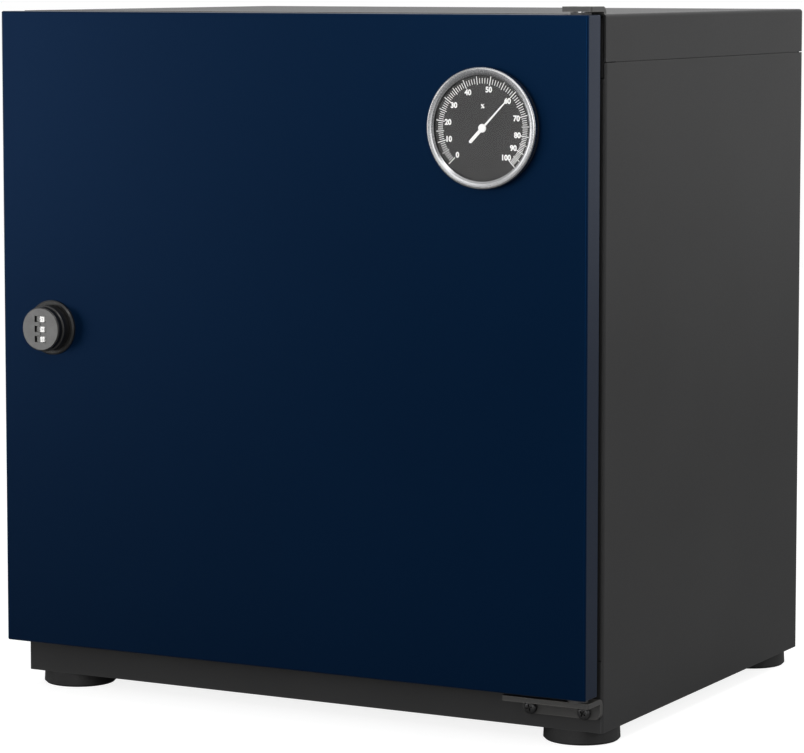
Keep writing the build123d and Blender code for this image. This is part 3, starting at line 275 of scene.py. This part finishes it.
# ---------------------------------------------------------------- bare and plated metal
surface(
    "black_screws", colour=(0.03, 0.03, 0.031), roughness=0.36, vary=0.12, vary_size=4 * MM,
    grain=0.5 * MM, grain_depth=0.01 * MM, metallic=0.6, edge=0.4 * MM,
    edge_colour=(0.14, 0.135, 0.13),
)
surface(
    "zinc_steel", colour=(0.55, 0.56, 0.58), roughness=0.3, vary=0.12, vary_size=8 * MM,
    grain=0.6 * MM, grain_depth=0.008 * MM, rough_vary=0.08, metallic=1.0,
    stretch=(1, 1, 0.12),
)
# The hinge pins are turned, so their grain runs round them
surface(
    "pin_steel", colour=grey(0.6), roughness=0.22, vary_size=4 * MM, grain=0.4 * MM,
    grain_depth=0.004 * MM, rough_vary=0.06, metallic=1.0, stretch=(1, 1, 6),
)
surface(
    "bezel_chrome", colour=(0.34, 0.343, 0.35), roughness=0.26, vary=0.04, vary_size=20 * MM,
    grain=0.6 * MM, grain_depth=0.001 * MM, rough_vary=0.03, metallic=1.0,
)
surface(
    "gauge_brass", colour=(0.72, 0.55, 0.27), roughness=0.26, vary=0.1, vary_size=6 * MM,
    grain=0.5 * MM, grain_depth=0.006 * MM, rough_vary=0.06, metallic=1.0,
)
# The code wheels
surface(
    "wheel_nickel", colour=(0.5, 0.5, 0.49), roughness=0.16, vary=0.05, vary_size=2 * MM,
    grain=0.3 * MM, grain_depth=0.003 * MM, metallic=1.0,
)
surface(
    "heater_aluminium", colour=(0.6, 0.6, 0.61), roughness=0.35, vary_size=10 * MM,
    grain=0.5 * MM, grain_depth=0.01 * MM, metallic=1.0, stretch=(0.1, 1, 1),
)
surface(
    "basket_steel", colour=grey(0.5), roughness=0.35, vary=0.08, vary_size=10 * MM,
    grain=0.5 * MM, grain_depth=0.01 * MM, metallic=1.0, stretch=(0.1, 1, 1),
)

# ---------------------------------------------------------------- plastic, rubber and glass
# The hinge bushes
surface(
    "nylon", colour=(0.03, 0.03, 0.031), roughness=0.5, vary=0.08, vary_size=4 * MM,
    grain=0.4 * MM, grain_depth=0.01 * MM,
)
surface(
    "foot_rubber", colour=(0.010, 0.010, 0.0102), roughness=0.62, vary=0.15,
    vary_size=10 * MM, grain=0.7 * MM, grain_depth=0.04 * MM, rough_vary=0.08,
    specular=0.35, edge=0.6 * MM, speckle=0.12,
)
surface(
    "gasket_rubber", colour=grey(0.012), roughness=0.7, vary=0.1, vary_size=10 * MM,
    grain=0.6 * MM, grain_depth=0.03 * MM, rough_vary=0.06, specular=0.3,
)
surface(
    "gauge_plastic", colour=grey(0.02), roughness=0.4, vary=0.08, vary_size=10 * MM,
    grain=0.6 * MM, grain_depth=0.01 * MM, edge=0.5 * MM,
)
# The lock's knob has a grey satin face, and its rim and flange are black
knob_low, knob_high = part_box("lock_knob")
surface(
    "lock_black", colour=grey(0.008), roughness=0.3, vary=0.1, vary_size=6 * MM,
    grain=0.4 * MM, grain_depth=0.008 * MM, rough_vary=0.06, specular=0.4, edge=0.3 * MM,
    edge_colour=(0.09, 0.09, 0.085), front_level=knob_low.y + 0.05 * MM,
    front_colour=(0.135, 0.135, 0.133),
)
surface(
    "dryer_plastic", colour=(0.03, 0.03, 0.031), roughness=0.52, vary=0.08,
    vary_size=20 * MM, grain=0.6 * MM, grain_depth=0.03 * MM, edge=0.6 * MM,
)
# A deep, coarse grain stands for the beads
surface(
    "desiccant", colour=(0.45, 0.42, 0.35), roughness=0.6, vary=0.2, vary_size=4 * MM,
    grain=2.5 * MM, grain_depth=0.6 * MM,
)
glass("lens_glass")

# ---------------------------------------------------------------- dial, pointer and print
surface(
    "dial_face", colour=grey(0.038), roughness=0.72, vary=0.05, vary_size=12 * MM,
    grain=0.3 * MM, grain_depth=0.004 * MM, specular=0.25,
)
surface(
    "pointer_white", colour=(0.93, 0.93, 0.92), roughness=0.5, vary=0.02, vary_size=10 * MM,
    grain=0.4 * MM, grain_depth=0.004 * MM,
)
surface(
    "printed_white", colour=(0.92, 0.92, 0.91), roughness=0.6, vary=0.03, vary_size=4 * MM,
    grain=0.3 * MM, grain_depth=0.003 * MM,
)
surface(
    "printed_black", colour=grey(0.16), roughness=0.6, vary=0.1, vary_size=2 * MM,
    grain=0.3 * MM, grain_depth=0.003 * MM,
)

for node, obj in nodes.items():
    obj.data.materials.clear()
    obj.data.materials.append(materials[slot_of[node]])


# ---------------------------------------------------------------- mesh helpers
def new_object(name, mesh, body, material):
    """A piece of the part, which rides on a body."""
    made = bpy.data.objects.new(name, mesh)
    scene.collection.objects.link(made)
    mesh.materials.clear()
    mesh.materials.append(materials[material])
    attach(made, body)
    return made


def to_mesh(built, name):
    mesh = bpy.data.meshes.new(name)
    built.to_mesh(mesh)
    built.free()
    return mesh


def evaluated_mesh(holder):
    """The mesh of an object with its modifiers."""
    bpy.context.view_layer.update()
    graph = bpy.context.evaluated_depsgraph_get()
    return bpy.data.meshes.new_from_object(holder.evaluated_get(graph))


def box_of(points):
    """The low and the high corner of the box round some points."""
    low = Vector([min(point[axis] for point in points) for axis in range(3)])
    high = Vector([max(point[axis] for point in points) for axis in range(3)])
    return low, high


def plane_at(origin, x_axis, z_axis):
    """The matrix of a plane by its origin, its x and its normal."""
    x = Vector(x_axis).normalized()
    z = Vector(z_axis).normalized()
    y = z.cross(x)
    return Matrix.Translation(origin) @ Matrix((x, y, z)).transposed().to_4x4()


def joined(name, placed):
    """One mesh from several, each with the matrix that places it."""
    built = bmesh.new()
    for mesh, matrix in placed:
        copy = mesh.copy()
        copy.transform(matrix)
        built.from_mesh(copy)
        bpy.data.meshes.remove(copy)
    return to_mesh(built, name)


def lofted(name, rings):
    """A closed solid through rings of points, in mm, from its bottom to its top."""
    built = bmesh.new()
    loops = [[built.verts.new((x * MM, y * MM, z * MM)) for x, y, z in ring] for ring in rings]
    count = len(loops[0])
    for lower, upper in zip(loops, loops[1:]):
        for step in range(count):
            after = (step + 1) % count
            built.faces.new((lower[step], lower[after], upper[after], upper[step]))
    built.faces.new(list(reversed(loops[0])))
    built.faces.new(loops[-1])
    return to_mesh(built, name)


def cut_away(mesh, tool):
    """mesh less tool, as a new mesh."""
    body = bpy.data.objects.new("body", mesh)
    cutter = bpy.data.objects.new("cutter", tool)
    for piece in (body, cutter):
        scene.collection.objects.link(piece)
    modifier = body.modifiers.new("cut", "BOOLEAN")
    modifier.operation = "DIFFERENCE"
    modifier.solver = "EXACT"
    modifier.object = cutter
    result = evaluated_mesh(body)
    for piece in (body, cutter):
        bpy.data.objects.remove(piece)
    return result


# ---------------------------------------------------------------- screws with crossed recesses
SHANK_RADIUS = 2.0
# A pan head from its seat to its top, as shares of its radius and of its height
PAN_HEAD = [
    (0.97, 0.0),
    (1.0, 0.12),
    (1.0, 0.45),
    (0.95, 0.68),
    (0.84, 0.85),
    (0.66, 0.95),
    (0.4, 1.0),
]


def turned(name, profile):
    """A solid turned about Z from (radius, height) points, in mm, from its bottom to its top."""
    steps = 40
    angles = [2 * pi * step / steps for step in range(steps)]
    rings = []
    for radius, height in profile:
        rings.append([(radius * cos(angle), radius * sin(angle), height) for angle in angles])
    return lofted(name, rings)


def cross_tool(half_length, half_width, low, high):
    """A cross that narrows towards its bottom and cuts a screw's recess, in mm."""
    taper = 0.62
    half = [
        (half_width, half_width),
        (half_width, half_length),
        (-half_width, half_length),
        (-half_width, half_width),
        (-half_length, half_width),
        (-half_length, -half_width),
    ]
    outline = half + [(-x, -y) for x, y in half]
    rings = []
    for height, share in ((low, taper), (high, 1.0)):
        rings.append([(x * share, y * share, height) for x, y in outline])
    return lofted("cross", rings)


def screw_mesh(head, height, reach, sunk):
    """A screw along Z, in mm, seated at z 0; a sunk one has its head under that level."""
    shank = [(SHANK_RADIUS, -reach)]
    if sunk:
        top = 0.0
        profile = shank + [(SHANK_RADIUS, -height), (head, -0.15), (head, 0.0)]
    else:
        top = height
        dome = [(head * across, height * up) for across, up in PAN_HEAD]
        profile = shank + [(SHANK_RADIUS, 0.0)] + dome
    tool = cross_tool(head * 0.58, head * 0.13, top - 0.6 * height, top + 0.5)
    return cut_away(turned("screw", profile), tool)


def solid_boxes(node):
    """The low and the high corner of each separate solid in a node."""
    built = bmesh.new()
    built.from_mesh(nodes[node].data)
    bmesh.ops.remove_doubles(built, verts=built.verts[:], dist=0.001 * MM)
    unseen = set(built.verts)
    boxes = []
    while unseen:
        waiting = [unseen.pop()]
        found = []
        while waiting:
            vertex = waiting.pop()
            found.append(vertex.co.copy())
            for edge in vertex.link_edges:
                other = edge.other_vert(vertex)
                if other in unseen:
                    unseen.remove(other)
                    waiting.append(other)
        boxes.append(box_of(found))
    built.free()
    return boxes


def screws(node, body, outward, order, head, height, reach, sunk=False):
    """Detailed screws in place of a node's plain ones, sized in mm. outward is the way that
    their heads face, and order sorts them, because each one's recess is turned by its number."""
    outward = Vector(outward)
    seats = []
    for low, high in solid_boxes(node):
        middle = Vector([round(value / CAD_STEP) * CAD_STEP for value in (low + high) / 2])
        half_depth = abs((high - low).dot(outward)) / 2
        raised = 0.0 if sunk else height * MM
        seats.append(middle + outward * (half_depth - raised))
    seats.sort(key=order)
    one = screw_mesh(head, height, reach, sunk)
    upward = Vector((1, 0, 0)) if outward.z else Vector((0, 0, 1))
    placed = []
    for index, seat in enumerate(seats):
        turn = Matrix.Rotation(radians(17 + 41 * index), 3, outward)
        placed.append((one, plane_at(seat, turn @ upward, outward)))
    name = node + "_detailed"
    mesh = joined(name, placed)
    mesh.shade_smooth()
    mesh.set_sharp_from_angle(angle=radians(32))
    made = new_object(name, mesh, body, slot_of[node])
    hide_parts(node)


# From the inside of the bracket to its corner
screws(
    "hinge_screws_bottom", "cabinet", outward=(0, -1, 0), order=lambda seat: seat.x,
    head=4.0, height=3.0, reach=11.0,
)
# From the top down
screws(
    "hinge_screws_top", "cabinet", outward=(0, -1, 0), order=lambda seat: -seat.z,
    head=3.0, height=1.2, reach=10.0, sunk=True,
)
# The ones down both sides come first, and then the two along the top
screws(
    "rear_screws", "cabinet", outward=(0, 1, 0),
    order=lambda seat: (-round(abs(seat.x), 4), seat.x, seat.z),
    head=3.6, height=1.8, reach=8.0,
)
screws(
    "foot_screws", "cabinet", outward=(0, 0, -1), order=lambda seat: (seat.x, seat.y),
    head=4.6, height=2.4, reach=8.9,
)
screws(
    "cam_screw", "knob", outward=(0, 1, 0), order=lambda seat: seat.x,
    head=5.1, height=2.0, reach=8.0,
)


# ---------------------------------------------------------------- printed words and marks
def bars_mesh(name, bars):
    """Flat bars in one mesh: each is the matrix that places it and its half sizes."""
    built = bmesh.new()
    for matrix, half_sizes in bars:
        cube = bmesh.ops.create_cube(built, size=2.0)
        scale = Matrix.Diagonal((*half_sizes, 1.0))
        bmesh.ops.transform(built, matrix=matrix @ scale, verts=cube["verts"])
    return to_mesh(built, name)


def text_mesh(words, size, thickness, embolden=0.0, stretch=1.0):
    """Words centred on the origin, in the XY plane, as a mesh; its sizes are in mm."""
    curve = bpy.data.curves.new("words", "FONT")
    curve.body = words
    curve.size = size * MM
    curve.align_x = "CENTER"
    curve.align_y = "CENTER"
    curve.extrude = thickness * MM / 2
    curve.offset = embolden * MM
    curve.resolution_u = 3
    holder = bpy.data.objects.new("words", curve)
    scene.collection.objects.link(holder)
    mesh = evaluated_mesh(holder)
    bpy.data.objects.remove(holder)
    low, high = box_of([vertex.co for vertex in mesh.vertices])
    centred = Matrix.Translation(-(low + high) / 2)
    mesh.transform(Matrix.Diagonal((stretch, 1.0, 1.0, 1.0)) @ centred)
    return mesh


# ---------------------------------------------------------------- hygrometer scale
dial_low, dial_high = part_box("gauge_dial")
dial_middle = (dial_low + dial_high) / 2
print_thickness = 0.04
print_y = dial_low.y - print_thickness * MM / 2
# The scale isn't even: these are its angles from straight up, clockwise, for each ten percent
TENS = [-134, -107, -82, -55, -25, 10, 45, 74.5, 99, 119, 137]
# Where each kind of tick starts and ends, from the dial's middle, and its width, in mm
TEN_TICK = (24.8, 30.2, 0.5)
FIVE_TICK = (25.0, 29.9, 0.42)
ONE_TICK = (25.6, 28.7, 0.36)
number_radius = 22.5
number_size = 4.4
sign_radius = 12.6
sign_size = 3.3


def scale_angle(percent):
    """The angle of a percentage, on a smooth curve through the angles of the tens."""
    step = min(percent // 10, 9)
    share = percent / 10 - step
    first, second = TENS[step], TENS[step + 1]
    slope_in = (second - TENS[step - 1]) / 2 if step > 0 else second - first
    slope_out = (TENS[step + 2] - first) / 2 if step < 9 else second - first
    square, cube = share**2, share**3
    return (
        (2 * cube - 3 * square + 1) * first
        + (cube - 2 * square + share) * slope_in
        + (3 * square - 2 * cube) * second
        + (cube - square) * slope_out
    )


def on_dial(angle, radius):
    """A place on the dial's face, by its angle from straight up and its radius in mm."""
    turn = radians(angle)
    x = dial_middle.x + sin(turn) * radius * MM
    z = dial_middle.z + cos(turn) * radius * MM
    return Vector((x, print_y, z))


def facing_front(place):
    return plane_at(place, (1, 0, 0), (0, -1, 0))


def tick(percent):
    """The matrix and the half sizes of one tick."""
    if percent % 10 == 0:
        inner, outer, width = TEN_TICK
    elif percent % 5 == 0:
        inner, outer, width = FIVE_TICK
    else:
        inner, outer, width = ONE_TICK
    angle = scale_angle(percent)
    middle = on_dial(angle, (inner + outer) / 2)
    half_sizes = (width / 2 * MM, print_thickness / 2 * MM, (outer - inner) / 2 * MM)
    return Matrix.Translation(middle) @ Matrix.Rotation(radians(angle), 4, "Y"), half_sizes


ticks = bars_mesh("gauge_scale_ticks", [tick(percent) for percent in range(101)])
new_object("gauge_scale_ticks", ticks, "door", "printed_white")

numbers = []
for percent in range(0, 101, 10):
    figures = text_mesh(str(percent), number_size, print_thickness, embolden=0.2, stretch=0.95)
    numbers.append((figures, facing_front(on_dial(scale_angle(percent), number_radius))))
sign = text_mesh("%", sign_size, print_thickness, embolden=0.12)
numbers.append((sign, facing_front(on_dial(0, sign_radius))))
new_object(
    "gauge_scale_numbers", joined("gauge_scale_numbers", numbers), "door",
    "printed_white",
)

# ---------------------------------------------------------------- numbers on the code wheels
figure_size = 2.2
figure_thickness = 0.03
figure_lift = 0.012
face_turn = 36  # degrees from one of a wheel's ten faces to the next


def wheel_numbers(wheel):
    """The ten numbers of a wheel, each upright on its face when that face is in front."""
    low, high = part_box(f"code_wheel_{wheel}")
    centre = (low + high) / 2
    # The wheel has flat faces to its left and its right, so half its width reaches a face
    flat = (high.x - low.x) / 2
    # Each wheel shows another number
    first_turn = face_turn / 2 + face_turn * (3 * wheel % 10)
    figures = []
    for digit in range(10):
        turn = radians(first_turn + face_turn * digit)
        outward = Vector((sin(turn), -cos(turn), 0))
        place = centre + outward * (flat + figure_lift * MM)
        figure = text_mesh(str(digit), figure_size, figure_thickness, stretch=0.8)
        figures.append((figure, plane_at(place, (cos(turn), sin(turn), 0), outward)))
    name = f"code_numbers_{wheel}"
    new_object(name, joined(name, figures), f"wheel_{wheel}", "printed_black")


for wheel in (1, 2, 3):
    wheel_numbers(wheel)


# ---------------------------------------------------------------- world, floor and card
def background_seen(tree, in_gloss):
    """1 where the background is seen straight or through glass, and where it is reflected if
    in_gloss says so."""
    rays = tree.nodes.new("ShaderNodeLightPath").outputs
    seen = maths(tree, "MAXIMUM", rays["Is Camera Ray"], rays["Is Transmission Ray"])
    if in_gloss:
        seen = maths(tree, "MAXIMUM", seen, rays["Is Glossy Ray"])
    return seen


def studio_world():
    """White where it is seen; it lights the part brightly from behind and dimly from in front."""
    world = bpy.data.worlds.new("studio")
    scene.world = world
    world.use_nodes = True
    tree = world.node_tree
    tree.nodes.clear()
    coordinates = tree.nodes.new("ShaderNodeTexCoord")
    direction = tree.nodes.new("ShaderNodeSeparateXYZ")
    tree.links.new(coordinates.outputs["Generated"], direction.inputs[0])
    around = add(tree, "ShaderNodeBackground", Color=rgba(grey(1)))
    brightness = spread(tree, direction.outputs["Y"], 0.1, 0.85, -0.35, 0.45)
    tree.links.new(brightness, around.inputs["Strength"])
    white = add(tree, "ShaderNodeBackground", Color=rgba(grey(1)), Strength=1.0)
    shown = mixed(tree, background_seen(tree, in_gloss=True), around, white)
    show(tree, shown, "ShaderNodeOutputWorld")


def sheet(name, corners):
    """One flat face of the studio."""
    mesh = bpy.data.meshes.new(name)
    mesh.from_pydata(corners, [], [(0, 1, 2, 3)])
    made = bpy.data.objects.new(name, mesh)
    scene.collection.objects.link(made)
    return made


def studio_floor():
    """A pale floor that glows where it is seen and keeps the part's shadow."""
    reach = 3.0
    floor = sheet(
        "floor", [(-reach, -reach, 0), (reach, -reach, 0), (reach, reach, 0), (-reach, reach, 0)]
    )
    floor.location.z = -0.2 * MM
    tree = new_material("floor")
    pale = add(tree, "ShaderNodeBsdfDiffuse", Color=rgba(grey(0.35)))
    glow = add(tree, "ShaderNodeEmission", Color=rgba(grey(1)))
    strength = maths(tree, "MULTIPLY", background_seen(tree, in_gloss=False), 0.85)
    tree.links.new(strength, glow.inputs["Strength"])
    both = tree.nodes.new("ShaderNodeAddShader")
    tree.links.new(pale.outputs[0], both.inputs[0])
    tree.links.new(glow.outputs[0], both.inputs[1])
    show(tree, both)
    floor.data.materials.append(materials["floor"])


def front_card():
    """A grey card in front, out of the camera's sight, for metal and gloss to reflect."""
    left, right = -1.6, 2.6
    foot_y, head_y = -2.7, -2.4
    top = 2.6
    card = sheet(
        "front_card",
        [(left, foot_y, 0), (right, foot_y, 0), (right, head_y, top), (left, head_y, top)],
    )
    card.visible_camera = False
    card.visible_transmission = False
    tree = new_material("front_card")
    show(tree, add(tree, "ShaderNodeBsdfDiffuse", Color=rgba(grey(0.3))))
    card.data.materials.append(materials["front_card"])


studio_world()
studio_floor()
front_card()


# ---------------------------------------------------------------- lamps
def lamp(name, place, target, size, power):
    """A soft lamp, by its place, what it points at, its sides in metres and its watts."""
    data = bpy.data.lights.new(name, "AREA")
    data.shape = "RECTANGLE"
    data.size, data.size_y = size
    data.energy = power
    made = bpy.data.objects.new(name, data)
    scene.collection.objects.link(made)
    made.location = place
    made.rotation_euler = (Vector(target) - Vector(place)).to_track_quat("-Z", "Y").to_euler()
    made.visible_camera = False


# The door is a dull mirror: key, fill and soft are the pale areas across it, and rim is the
# haze on its top right corner
lamp("key", place=(0.05, -1.0, 0.715), target=(0.05, -0.15, 0.3), size=(0.8, 0.8), power=5.0)
lamp("fill", place=(0.45, -2.2, 0.35), target=(0.0, -0.15, 0.2), size=(1.2, 0.8), power=13.0)
lamp("soft", place=(-1.9, -2.0, 0.32), target=(-0.1, -0.15, 0.2), size=(1.0, 0.9), power=10.5)
lamp("rim", place=(0.455, -0.74, 1.08), target=(0.135, -0.16, 0.36), size=(0.3, 0.3), power=0.9)
lamp("side", place=(2.3, 0.1, 1.0), target=(0.2, 0.0, 0.2), size=(1.6, 1.6), power=14.0)
lamp("top", place=(0.1, 0.3, 2.2), target=(0.0, 0.0, 0.3), size=(1.8, 1.8), power=16.0)

# ---------------------------------------------------------------- camera
# Its place, angles and lens are the ones that bring the cabinet's corners where the photo has
# them; the turn is to the left of straight back, and the dip is below level
camera_turn = 28.286
camera_dip = 5.345
camera_data = bpy.data.cameras.new("camera")
camera_data.sensor_width = 36
camera_data.lens = 156.1
camera_data.shift_y = -0.1
camera_data.clip_end = 100
camera = bpy.data.objects.new("camera", camera_data)
scene.collection.objects.link(camera)
camera.location = (1.0400, -1.9381, 0.4500)
camera.rotation_euler = (radians(90 - camera_dip), 0, radians(camera_turn))
scene.camera = camera

scene.view_settings.view_transform = "Standard"
